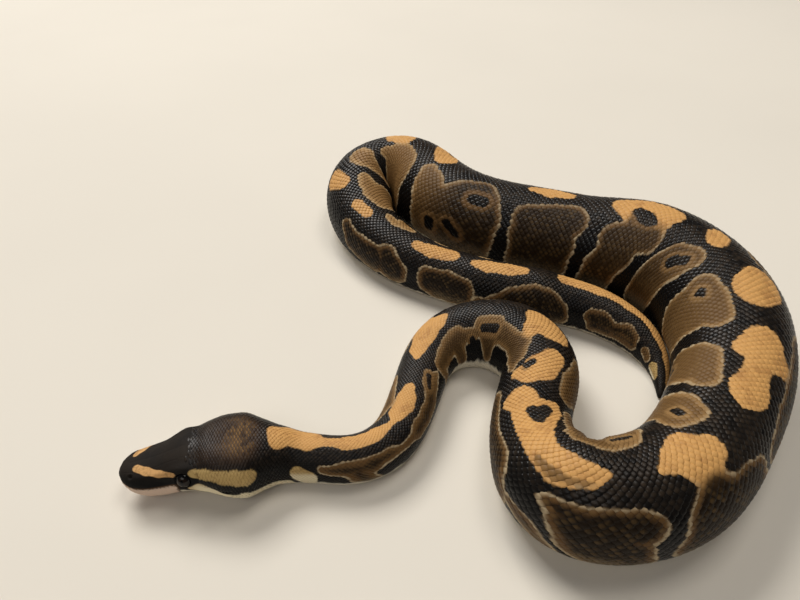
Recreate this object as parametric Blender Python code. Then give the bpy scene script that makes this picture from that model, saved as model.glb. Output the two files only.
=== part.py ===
# Ball python at rest: a still, life-size museum model, coiled flat on its floor.
# The body is one tube swept along a course of bends, cut across into lengths of head, neck,
# trunk and tail. Everything stands on small flats at z = 0. Metres, +Z up.
import math

import bmesh
import bpy
import numpy as np
from mathutils import Vector

MM = 0.001

# Course of the backbone over the floor, from snout to tail tip: length in mm, turn to the left
# in degrees.
COURSE = {
    "head": (48, 2),
    "nape": (25, -26),
    "neck rise": (30, 84),
    "straight rise": (34, 8.7),
    "into the arch": (25.8, -69.7),
    "arch": (32.4, -78.2),
    "out of the arch": (17.9, -49.9),
    "drop": (38.7, 46.1),
    "crook": (20.1, 70.6),
    "low side": (41.5, 52.5),
    "low corner": (39.6, 9.8),
    "outer side": (55, 45),
    "upper corner": (39, 46),
    "upper side": (61, 9),
    "long run": (54, -42),
    "into the hairpin": (25, 56),
    "hairpin": (26, 95),
    "out of the hairpin": (27, 27),
    "back along the run": (32, 28),
    "hind run": (72, 26.8),
    "tail curl": (42, -39.8),
    "tail tip": (35, -70.1),
}
START = (-0.0975, 0.1326)
START_HEADING = 8.8
BLEND = 16 * MM
STEP = 1 * MM

# Head: distance from the snout, half width, height of the crown, height of the chin, in mm.
HEAD_ROWS = (
    (0, 2.4, 12.3, 9.3),
    (0.6, 3.9, 13.3, 8),
    (1.5, 5.2, 14, 6.7),
    (3, 6.7, 14.8, 5.1),
    (6, 8.2, 15.7, 3.2),
    (10, 8.9, 16.5, 1.9),
    (15, 9.4, 17.9, 1.7),
    (20, 10.4, 19.9, 3),
    (25, 11.8, 21.3, 3.6),
    (31, 13.9, 21.9, 3.6),
    (37, 16, 22.2, 2.6),
    (43, 16.5, 22, 1.9),
    (49, 13.4, 21.1, 1.2),
    (55, 10.4, 19.6, 0.5),
)
# How full the underside is: 2 is an ellipse, more is squarer. Distance from the snout in mm.
FULLNESS = ((0, 2.2), (10, 2.5), (25, 1.9), (43, 2.4), (55, 2.5), (100, 2.5))
# Neck, trunk and tail: distance from the snout and half width, in mm.
BODY_ROWS = (
    (64, 8.9),
    (72, 8.4),
    (98, 9.3),
    (118, 10),
    (138, 10.7),
    (163, 14),
    (186, 16.1),
    (209, 15.4),
    (226, 14.9),
    (240, 15.9),
    (252, 18.5),
    (266, 20.5),
    (282, 20.1),
    (302, 20.2),
    (318, 20.2),
    (358, 21.6),
    (398, 24.6),
    (438, 25.5),
    (478, 22.4),
    (528, 21.7),
    (556, 21.9),
    (580, 23.2),
    (600, 21.5),
    (618, 18.3),
    (658, 14.6),
    (698, 12.6),
    (738, 12.5),
    (752, 11.2),
    (768, 10.5),
    (788, 8.5),
    (804, 5.2),
    (816, 2.4),
    (821, 1),
)
HEIGHT_TO_WIDTH = 0.92
# The neck keeps one height between these distances from the snout, in mm.
NECK = (64, 72, 98)
NECK_HEIGHT = 16.6
# Where the widest point lies, as a share of the height.
MIDDLE = 0.47
# The back is squarest at the snout and falls to an ellipse over this distance.
ELLIPSE = 2.0
CROWN_SQUARE = 2.5
SNOUT_SQUARE = 3.0
SQUARE_FADE = 60 * MM
# How far the belly is flattened by its weight.
BELLY_PRESS = 1.5 * MM
# In a bend the inner side draws in as its half width nears this share of the bend's radius.
TIGHTEST_FOLD = 0.84
FOLD_SHARPNESS = 5

# Lengths of the body between its cuts: name, end in mm, ring spacing in mm.
LENGTHS = (
    ("head", 50, 2.4),
    ("neck", 88, 3.8),
    ("fore_rise", 134, 4.4),
    ("fore_arch", 175, 3.8),
    ("fore_bend", 210, 3.8),
    ("fore_drop", 236, 4.4),
    ("low_crook", 284, 4.0),
    ("low_side", 336, 5.2),
    ("outer_side", 390, 5.4),
    ("upper_corner", 444, 5.4),
    ("upper_side", 498, 5.4),
    ("long_run", 556, 5.2),
    ("hairpin", 640, 3.6),
    ("hind_run", 698, 5.6),
    ("hind_end", 756, 5.8),
    ("tail", 821, 4.6),
)
CUT = 0.4 * MM
SIDES = 20
HEAD_SIDES = 24

EYE_AT = 23.2 * MM
EYE_HEIGHT = 14.3 * MM
EYE_OUT = 9.3 * MM
EYE_RADIUS = 2.8 * MM
EYE_GAP = 0.3 * MM
EYE_SEGMENTS = 16
EYE_RINGS = 10

SKIN = (0.055, 0.040, 0.028, 1.0)
EYE = (0.006, 0.006, 0.007, 1.0)


def clearScene():
    for obj in list(bpy.data.objects):
        bpy.data.objects.remove(obj)


def makeMaterial(name, colour, roughness):
    material = bpy.data.materials.new(name)
    material.use_nodes = True
    shader = material.node_tree.nodes["Principled BSDF"]
    shader.inputs["Base Color"].default_value = colour
    shader.inputs["Roughness"].default_value = roughness
    return material


def smooth(values, width):
    """Running mean that holds the end values."""
    kernel = np.ones(width) / width
    padded = np.concatenate([np.full(width, values[0]), values, np.full(width, values[-1])])
    return np.convolve(padded, kernel, "same")[width:-width]


def backbone():
    """Distance, x, y and heading along the course."""
    lengths = np.array([row[0] for row in COURSE.values()]) * MM
    turns = np.array([row[1] for row in COURSE.values()])
    count = int(round(lengths.sum() / STEP))
    middles = (np.arange(count) + 0.5) * STEP
    corners = np.concatenate([[0.0], np.cumsum(lengths)])
    headings = START_HEADING + np.concatenate([[0.0], np.cumsum(turns)])
    heading = np.interp(middles, corners, headings)
    width = int(round(BLEND / STEP)) | 1
    heading = np.radians(smooth(smooth(heading, width), width))
    x = START[0] + np.concatenate([[0.0], np.cumsum(np.cos(heading) * STEP)])
    y = START[1] + np.concatenate([[0.0], np.cumsum(np.sin(heading) * STEP)])
    ends = np.concatenate([[heading[0]], (heading[1:] + heading[:-1]) / 2, [heading[-1]]])
    return np.arange(count + 1) * STEP, x, y, ends


def steadySlopes(at, value):
    """Slopes of a curve through the rows that never overshoots them."""
    gap = np.diff(at)
    rise = np.diff(value) / gap
    slope = np.zeros(len(at))
    slope[0] = rise[0]
    slope[-1] = rise[-1]
    for i in range(1, len(at) - 1):
        if rise[i - 1] * rise[i] > 0:
            before = 2 * gap[i] + gap[i - 1]
            after = gap[i] + 2 * gap[i - 1]
            slope[i] = (before + after) / (before / rise[i - 1] + after / rise[i])
    return slope


def throughRows(rows, column, where):
    """Smooth curve through one column of rows, read at a distance."""
    at = np.array([row[0] for row in rows]) * MM
    value = np.array([row[column] for row in rows]) * MM
    slope = steadySlopes(at, value)
    where = np.clip(where, at[0], at[-1])
    i = np.clip(np.searchsorted(at, where) - 1, 0, len(at) - 2)
    gap = at[i + 1] - at[i]
    t = (where - at[i]) / gap
    rest = (1 - t) ** 2
    return (value[i] * (1 + 2 * t) * rest + value[i + 1] * (3 - 2 * t) * t ** 2
            + slope[i] * gap * t * rest + slope[i + 1] * gap * t ** 2 * (t - 1))


DISTANCE, BACK_X, BACK_Y, HEADING = backbone()
CURVATURE = np.gradient(HEADING, DISTANCE)
NECK_ROWS = tuple((at, NECK_HEIGHT, 0.0) for at in NECK)
BEHIND_NECK = tuple(row for row in BODY_ROWS if row[0] > NECK[-1])
TRUNK_ROWS = tuple((at, 2 * half * HEIGHT_TO_WIDTH, 0.0) for at, half in BEHIND_NECK)
WIDTH_ROWS = tuple((row[0], row[1]) for row in HEAD_ROWS) + BODY_ROWS
HEIGHT_ROWS = tuple((row[0], row[2], row[3]) for row in HEAD_ROWS) + NECK_ROWS + TRUNK_ROWS


def girth(s):
    """Half width, height of the back and height of the underside at a distance."""
    half = float(throughRows(WIDTH_ROWS, 1, s))
    back = float(throughRows(HEIGHT_ROWS, 1, s))
    under = float(throughRows(HEIGHT_ROWS, 2, s))
    return half, back, under


def sectionPoint(s, angle):
    """A point of the skin: angle runs from the back, towards the animal's left."""
    half, back, under = girth(s)
    turn = float(np.interp(s, DISTANCE, CURVATURE))
    sine, cosine = math.sin(angle), math.cos(angle)
    if sine * turn < 0:
        reach = abs(turn) * half / TIGHTEST_FOLD
        half = half / (1 + reach ** FOLD_SHARPNESS) ** (1 / FOLD_SHARPNESS)
    centre = under + (back - under) * MIDDLE
    if cosine >= 0:
        power = min(CROWN_SQUARE, max(ELLIPSE, SNOUT_SQUARE - s / SQUARE_FADE))
    else:
        power = float(throughRows(FULLNESS, 1, s)) / MM
    across = math.copysign(abs(sine) ** (2 / power), sine) * half
    if cosine >= 0:
        z = centre + (back - centre) * cosine ** (2 / power)
    else:
        z = centre - (centre - under + BELLY_PRESS) * abs(cosine) ** (2 / power)
        z = max(z, under)
    x = float(np.interp(s, DISTANCE, BACK_X))
    y = float(np.interp(s, DISTANCE, BACK_Y))
    heading = float(np.interp(s, DISTANCE, HEADING))
    return Vector((x + across * math.sin(heading), y - across * math.cos(heading), z))


def ring(s, sides):
    return [sectionPoint(s, 2 * math.pi * i / sides) for i in range(sides)]


def footprintCentre():
    """Middle of the box that the whole body fills on the floor."""
    points = [p for s in DISTANCE[::2] for p in ring(s, SIDES)]
    xs = [p.x for p in points]
    ys = [p.y for p in points]
    return Vector(((min(xs) + max(xs)) / 2, (min(ys) + max(ys)) / 2, 0.0))


def makeLength(name, start, end, spacing, sides, centre):
    """One closed length of the body between two cuts."""
    count = max(2, int(round((end - start) / spacing)))
    mesh = bmesh.new()
    rings = []
    for k in range(count + 1):
        s = start + (end - start) * k / count
        rings.append([mesh.verts.new(p - centre) for p in ring(s, sides)])
    for near, far in zip(rings, rings[1:]):
        for i in range(sides):
            j = (i + 1) % sides
            mesh.faces.new((near[i], near[j], far[j], far[i]))
    mesh.faces.new(list(reversed(rings[0])))
    mesh.faces.new(rings[-1])
    bmesh.ops.recalc_face_normals(mesh, faces=mesh.faces)
    bmesh.ops.triangulate(mesh, faces=mesh.faces)
    data = bpy.data.meshes.new(name)
    mesh.to_mesh(data)
    mesh.free()
    obj = bpy.data.objects.new(name, data)
    bpy.context.collection.objects.link(obj)
    data.materials.append(makeMaterial(name + "_skin", SKIN, 0.42))
    data.shade_smooth()
    return obj


def eyePlace(side, centre):
    """Centre of an eye: side is 1 on the animal's left and -1 on its right."""
    x = float(np.interp(EYE_AT, DISTANCE, BACK_X))
    y = float(np.interp(EYE_AT, DISTANCE, BACK_Y))
    heading = float(np.interp(EYE_AT, DISTANCE, HEADING))
    across = side * EYE_OUT
    place = Vector((x + across * math.sin(heading), y - across * math.cos(heading), EYE_HEIGHT))
    return place - centre


def makeBall(name, place, radius):
    bpy.ops.mesh.primitive_uv_sphere_add(
        segments=EYE_SEGMENTS, ring_count=EYE_RINGS, radius=radius, location=place
    )
    ball = bpy.context.object
    ball.name = name
    ball.data.name = name
    ball.data.shade_smooth()
    return ball


def makeEye(name, side, head, centre):
    """An eyeball, and the socket that it sits in."""
    place = eyePlace(side, centre)
    ball = makeBall(name, place, EYE_RADIUS)
    ball.data.materials.append(makeMaterial(name + "_surface", EYE, 0.05))
    socket = makeBall(name + "_socket", place, EYE_RADIUS + EYE_GAP)
    socket.hide_render = True
    socket.display_type = "WIRE"
    cut = head.modifiers.new(name + "_socket", "BOOLEAN")
    cut.operation = "DIFFERENCE"
    cut.solver = "EXACT"
    cut.object = socket


def build():
    clearScene()
    centre = footprintCentre()
    start = 0.0
    for name, end, spacing in LENGTHS:
        last = end * MM >= DISTANCE[-1]
        stop = DISTANCE[-1] if last else end * MM - CUT / 2
        sides = HEAD_SIDES if name == "head" else SIDES
        obj = makeLength(name, start, stop, spacing * MM, sides, centre)
        if name == "head":
            makeEye("left_eye", 1, obj, centre)
            makeEye("right_eye", -1, obj, centre)
        start = end * MM + CUT / 2


build()
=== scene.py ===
import math

import bpy
import numpy as np
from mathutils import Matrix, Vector


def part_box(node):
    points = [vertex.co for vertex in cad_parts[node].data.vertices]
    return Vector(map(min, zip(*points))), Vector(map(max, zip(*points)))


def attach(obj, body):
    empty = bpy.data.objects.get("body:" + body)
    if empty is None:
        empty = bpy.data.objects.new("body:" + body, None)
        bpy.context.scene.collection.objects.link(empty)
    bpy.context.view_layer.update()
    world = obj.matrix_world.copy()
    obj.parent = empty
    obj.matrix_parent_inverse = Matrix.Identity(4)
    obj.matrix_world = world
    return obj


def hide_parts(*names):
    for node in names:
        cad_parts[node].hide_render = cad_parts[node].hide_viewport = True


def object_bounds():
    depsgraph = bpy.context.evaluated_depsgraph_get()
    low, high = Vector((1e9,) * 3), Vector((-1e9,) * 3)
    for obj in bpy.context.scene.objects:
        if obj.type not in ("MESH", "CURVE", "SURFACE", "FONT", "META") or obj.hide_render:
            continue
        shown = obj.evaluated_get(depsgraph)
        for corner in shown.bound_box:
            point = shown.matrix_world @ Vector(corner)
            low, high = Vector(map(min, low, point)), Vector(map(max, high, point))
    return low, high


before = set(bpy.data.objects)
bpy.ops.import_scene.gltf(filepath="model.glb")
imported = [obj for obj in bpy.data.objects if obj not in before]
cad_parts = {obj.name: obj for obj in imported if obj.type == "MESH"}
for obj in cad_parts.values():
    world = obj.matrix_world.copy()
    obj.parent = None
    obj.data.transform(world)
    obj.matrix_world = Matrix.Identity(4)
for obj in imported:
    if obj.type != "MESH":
        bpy.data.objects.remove(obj)  # one fixed body called root, with a node for each length of the snake
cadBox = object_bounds()
mm = 0.001

# How the body lies and how thick it is, the same as the solids. Lengths in mm, turns in degrees to the left.
snake = {
    "course": (
        # head, neck and arch
        (48, 2), (25, -26), (30, 84), (34, 8.7), (25.8, -69.7), (32.4, -78.2), (17.9, -49.9),
        # drop, crook and the wide turn
        (38.7, 46.1), (20.1, 70.6), (41.5, 52.5), (39.6, 9.8), (55, 45), (39, 46),
        # upper side and hairpin, then back along the run to the tail
        (61, 9), (54, -42), (25, 56), (26, 95), (27, 27), (32, 28), (72, 26.8), (42, -39.8), (35, -70.1),
    ),
    "startHeading": 8.8,
    "blend": 16,
    # distance from the snout, half width, crown, chin
    "head": (
        (0, 2.4, 12.3, 9.3), (0.6, 3.9, 13.3, 8), (1.5, 5.2, 14, 6.7), (3, 6.7, 14.8, 5.1),
        (6, 8.2, 15.7, 3.2), (10, 8.9, 16.5, 1.9), (15, 9.4, 17.9, 1.7), (20, 10.4, 19.9, 3),
        (25, 11.8, 21.3, 3.6), (31, 13.9, 21.9, 3.6), (37, 16, 22.2, 2.6), (43, 16.5, 22, 1.9),
        (49, 13.4, 21.1, 1.2), (55, 10.4, 19.6, 0.5),
    ),
    # distance from the snout, half width
    "body": (
        (64, 8.9), (72, 8.4), (98, 9.3), (118, 10), (138, 10.7), (163, 14), (186, 16.1),
        (209, 15.4), (226, 14.9), (240, 15.9), (252, 18.5), (266, 20.5), (282, 20.1), (302, 20.2),
        (318, 20.2), (358, 21.6), (398, 24.6), (438, 25.5), (478, 22.4), (528, 21.7), (556, 21.9),
        (580, 23.2), (600, 21.5), (618, 18.3), (658, 14.6), (698, 12.6), (738, 12.5), (752, 11.2),
        (768, 10.5), (788, 8.5), (804, 5.2), (816, 2.4), (821, 1),
    ),
    "fullness": ((0, 2.2), (10, 2.5), (25, 1.9), (43, 2.4), (55, 2.5), (100, 2.5)),  # 2 is an ellipse
    "heightToWidth": 0.92,
    "neckEnd": 98,
    "neckHeight": 16.6,
    "middle": 0.47,
    "bellyPress": 1.5,
    "tightestFold": 0.84,
    "coatDepth": 0.5,  # the skin lies this far inside the solids
    "headFormEnd": 62,
    # what stands out from the plain sweep of the head: height in mm, distance from the snout and
    # how far it spreads, degrees from the back and how far it spreads
    "headForms": (
        (-0.55, 39, 8, 0, 9),  # furrow along the crown
        (0.35, 39, 8, 36, 20),  # muscles beside it
        (0.75, 22.8, 4.2, 46, 11),  # brow over the eye
        (0.30, 13, 6, 46, 9),  # ridge from the brow to the nostril
        (-0.55, 15.5, 4, 72, 12),  # hollow before the eye
        (0.25, 42, 7, 100, 18),  # jaw corner
        (-0.85, 27.6, 2.3, 24, 30),  # dip behind the brows
    ),
}


def runningMean(values, width):
    kernel = np.ones(width) / width
    padded = np.concatenate([np.full(width, values[0]), values, np.full(width, values[-1])])
    return np.convolve(padded, kernel, "same")[width:-width]


def steadyCurve(at, value, where):
    # a smooth curve through the rows that never overshoots them
    at, value = np.array(at, float), np.array(value, float)
    gap = np.diff(at)
    rise = np.diff(value) / gap
    slope = np.concatenate([rise[:1], np.zeros(len(at) - 2), rise[-1:]])
    for i in range(1, len(at) - 1):
        if rise[i - 1] * rise[i] > 0:
            before, after = 2 * gap[i] + gap[i - 1], gap[i] + 2 * gap[i - 1]
            slope[i] = (before + after) / (before / rise[i - 1] + after / rise[i])
    where = np.clip(where, at[0], at[-1])
    i = np.clip(np.searchsorted(at, where) - 1, 0, len(at) - 2)
    t = (where - at[i]) / gap[i]
    rest = (1 - t) ** 2
    return (value[i] * (1 + 2 * t) * rest + value[i + 1] * (3 - 2 * t) * t ** 2
            + slope[i] * gap[i] * t * rest + slope[i + 1] * gap[i] * t ** 2 * (t - 1))


def readRows(rows, where):
    # a table of (place, value), read with straight lines between its rows
    return np.interp(where, *zip(*rows))


def measureBody():
    # tables of the backbone and the girth for every millimetre from the snout
    lengths, turns = np.array(snake["course"], float).T
    count = int(round(lengths.sum()))
    corners = np.concatenate([[0.0], np.cumsum(lengths)])
    headings = snake["startHeading"] + np.concatenate([[0.0], np.cumsum(turns)])
    heading = np.interp(np.arange(count) + 0.5, corners, headings)
    width = snake["blend"] | 1
    heading = np.radians(runningMean(runningMean(heading, width), width))
    x = np.concatenate([[0.0], np.cumsum(np.cos(heading))])
    y = np.concatenate([[0.0], np.cumsum(np.sin(heading))])
    heading = np.concatenate([heading[:1], (heading[1:] + heading[:-1]) / 2, heading[-1:]])
    at = np.arange(count + 1.0)
    head, body, neckEnd = snake["head"], snake["body"], snake["neckEnd"]
    trunk = [(s, 2 * half * snake["heightToWidth"], 0) for s, half in body if s > neckEnd]
    neck = [(s, snake["neckHeight"], 0) for s, half in body if s <= neckEnd]
    heights = [(s, back, under) for s, half, back, under in head] + neck + trunk
    places, backs, unders = np.array(heights, float).T
    widths = [row[:2] for row in head] + list(body)
    return {
        "at": at, "x": x, "y": y, "heading": heading,
        "curve": np.gradient(heading),
        "half": steadyCurve(*zip(*widths), at),
        "back": steadyCurve(places, backs, at),
        "under": steadyCurve(places, unders, at),
        "low": steadyCurve(*zip(*snake["fullness"]), at),
        "high": np.clip(3 - at / 60, 2, 2.5),
    }


bodyTable = measureBody()
total = bodyTable["at"][-1]


def bodyAt(name, s):
    return np.interp(s, bodyTable["at"], bodyTable[name])


def aheadAt(s):
    # the way the body runs, towards the tail
    heading = bodyAt("heading", s)
    return np.array([math.cos(heading), math.sin(heading), 0.0])


def unit(vector):
    return vector / np.linalg.norm(vector)


def evenTurns(count):
    return 2 * math.pi * np.arange(count) / count


def signedTurn(angle):
    return (angle + math.pi) % (2 * math.pi) - math.pi


def hill(value, centre, width):
    return np.exp(-(((value - centre) / width) ** 2))


def step(value, low, high):
    t = np.clip((value - low) / (high - low), 0, 1)
    return t * t * (3 - 2 * t)


def headForm(s, angle):
    side = np.abs((np.degrees(angle) + 180) % 360 - 180)
    return sum(height * hill(s, at, spread) * hill(side, turn, width)
               for height, at, spread, turn, width in snake["headForms"])


def surface(s, angle, inset=snake["coatDepth"]):
    # points of the body for distances in mm and angles from the back, in metres
    s, angle = np.broadcast_arrays(np.asarray(s, float), np.asarray(angle, float))
    read = {name: bodyAt(name, s) for name in bodyTable}
    inset = inset - headForm(s, angle) * (s < snake["headFormEnd"])
    sine, cosine = np.sin(angle), np.cos(angle)
    reach = np.abs(read["curve"]) * read["half"] / snake["tightestFold"]
    inner = np.where(sine * read["curve"] < 0, (1 + reach ** 5) ** -0.2, 1.0)
    half = read["half"] * inner - inset
    back, under = read["back"] - inset, read["under"] + snake["coatDepth"]
    centre = under + (back - under) * snake["middle"]
    power = np.where(cosine >= 0, read["high"], read["low"])
    across = np.sign(sine) * np.abs(sine) ** (2 / power) * half
    rise = np.abs(cosine) ** (2 / power)
    z = np.where(cosine >= 0, centre + (back - centre) * rise,
                 centre - (centre - under + snake["bellyPress"]) * rise)
    z = np.maximum(z, under)
    x = read["x"] + across * np.sin(read["heading"])
    y = read["y"] - across * np.cos(read["heading"])
    return np.stack([x, y, z], -1) * mm


# The sweep starts at its own origin: this puts it where the solids lie.
coarse = surface(np.arange(0, total, 2.0)[:, None], np.radians(np.arange(0, 360, 18.0)), 0.0)
shift = np.array(cadBox[0] + cadBox[1]) / 2 - (coarse.min((0, 1)) + coarse.max((0, 1))) / 2
for axis, moved in zip("xy", shift):
    bodyTable[axis] = bodyTable[axis] + moved / mm


def surfaceFrame(s, angle):
    # points of the skin and their outward normals
    ds, da = 0.4, 0.02
    along = (surface(s + ds, angle) - surface(s - ds, angle)) / (2 * ds)
    around = (surface(s, angle + da) - surface(s, angle - da)) / (2 * da)
    normal = np.cross(around, along)
    normal /= np.linalg.norm(normal, axis=-1, keepdims=True) + 1e-12
    return surface(s, angle), normal


def unrollBody():
    # for each mm of length and each side: the angle at even steps of the way round, and that way's length
    degrees = np.radians(np.arange(181.0))
    rows = np.arange(0, total + 1.0)
    share = np.linspace(0, 1, 181)
    tables = {}
    for side in (1, -1):
        ring = surface(rows[:, None], degrees[None] * side)
        way = np.cumsum(np.linalg.norm(np.diff(ring, axis=1), axis=2), axis=1) / mm
        way = np.concatenate([np.zeros((len(rows), 1)), way], 1)
        turns = np.array([np.interp(share * row[-1], row, degrees) for row in way])
        tables[side] = way[:, -1], turns
    return tables


unrolled = unrollBody()


def angleAt(s, y):
    # the angle of a place y mm round from the middle of the back, plus towards the animal's left
    angle = np.zeros(np.shape(s))
    for side in (1, -1):
        here = (y >= 0) == (side > 0)
        at, far = s[here], np.abs(y[here])
        ways, turns = unrolled[side]
        row = np.clip(at.astype(int), 0, len(ways) - 2)
        part = np.clip(at - row, 0, 1)
        way = ways[row] * (1 - part) + ways[row + 1] * part
        column = np.clip(far / way, 0, 0.99999) * 180
        low = column.astype(int)
        rest = column - low
        near = turns[row, low] * (1 - rest) + turns[row, low + 1] * rest
        after = turns[row + 1, low] * (1 - rest) + turns[row + 1, low + 1] * rest
        angle[here] = side * (near * (1 - part) + after * part)
    return angle


def wayRound(s, angle):
    # the reverse of angleAt for places along the body at one angle
    side = 1 if angle >= 0 else -1
    ways, turns = unrolled[side]
    row = int(min(max(s, 0), len(ways) - 1))
    return np.interp(abs(angle), turns[row], np.linspace(0, 1, 181)) * ways[row]


print("body measured:", round(total), "mm long")

# Markings. Each stroke is a chain of round dabs: mm from the snout, degrees from the back
# (plus is the animal's left), radius in mm.
markings = {}
markings["gold"] = (
    ((55.5, -6, 3.6), (61, -12, 4.4), (66, -8, 4.2), (73, -6, 1.7), (80, -6, 3.3), (91, -7, 3.1)),
    ((55.5, -6, 3.6), (55.5, 8, 3.4)), ((60, -24, 3.6), (66, -26, 3.4)),
    ((91, -7, 3), (99, -4, 0.9), (103.9, -6, 3.2)),
    ((103.9, -7, 3.6), (110.7, -5, 3.8), (115.6, -6, 2.4)), ((107.8, -2, 3.2), (107.8, 13, 1.8)),
    ((132.2, -14, 1.7), (136.7, -19, 3.8), (143, -20, 5), (149, -19, 4.2), (152.5, -18, 2.4)),
    ((144.5, -26, 5), (147, -46, 4.6), (147.5, -66, 4.6)),
    ((190.6, -16, 5.4), (194.7, -22, 6.4), (197, -32, 4.6)),
    ((191.5, -13, 6), (192.9, 4, 3.8), (195.3, 19, 3)),
    ((209.4, -12, 4.7), (214.5, 2, 6.5), (218.2, 17, 4.8), (218.7, 34, 2.6)),
    ((229.9, 18, 5), (231.3, 34, 3.8)),
    ((229.9, 18, 5), (244.9, 19, 3.9), (253, 22, 4.4), (260, 25, 5.6)),
    ((260, 25, 5.6), (266, 21, 3.9), (270, 16.5, 1.4)), ((244.9, 19, 3.9), (251, 15, 2.2)),
    ((232.7, 4, 2.6), (232.2, -25, 1.8), (236.6, -29, 1.4)),
    ((236.6, -29, 1.4), (246.4, -2, 2.1), (253, 16, 3.6)),
    ((286, 12, 2), (290.5, 7, 4.6), (295.9, 2, 6.6)), ((296.4, 6, 7.4), (302, 13, 5.4)),
    ((296.4, 9, 8), (297.5, 22, 6.4)), ((329.5, 13, 4.2), (333.5, 14, 7), (344, 13, 4.3),
     (352, 15, 6.6)),
    ((353, -1, 5), (358.5, 13, 7), (353, 26, 5.4), (352, 38, 3.6)), ((383.5, 8, 8.4), (387, 18, 9)),
    ((412, 3, 4.4), (415, 13, 4.4)), ((436, 0, 6.8), (447, 5, 6.8), (455, 0, 6)),
    ((434, -14, 3.4), (434, -24, 3)), ((454, -10, 4), (452, -20, 2.4)),
    ((482, 8, 3.4), (490, 9, 5.4), (498, 10, 3.4)),
    ((554.5, 12, 6.4), (560, 25, 6.4), (569, 62, 4.4), (570, 72, 3.6)),
    ((581.5, -2, 4.2), (583.5, 8, 6.6), (584.5, 34, 5.4), (584, 54, 3.4)),
    ((616.5, 48, 5), (621.5, 30, 4.4)), ((639.6, 19, 2.9), (648, 15, 3)),
    ((680.5, 11, 2.8), (688, 9, 4), (697, 1, 4.5)),
    ((710, 6, 2.4), (716, 5, 3.8), (726, 0, 4.1), (731.5, -2, 3)),
    ((751.5, -14, 4.2), (765, -16, 4.3), (780, -22, 3.4), (795, -26, 2.6), (805, -38, 2),
     (814, -52, 1.4)),
)
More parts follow.
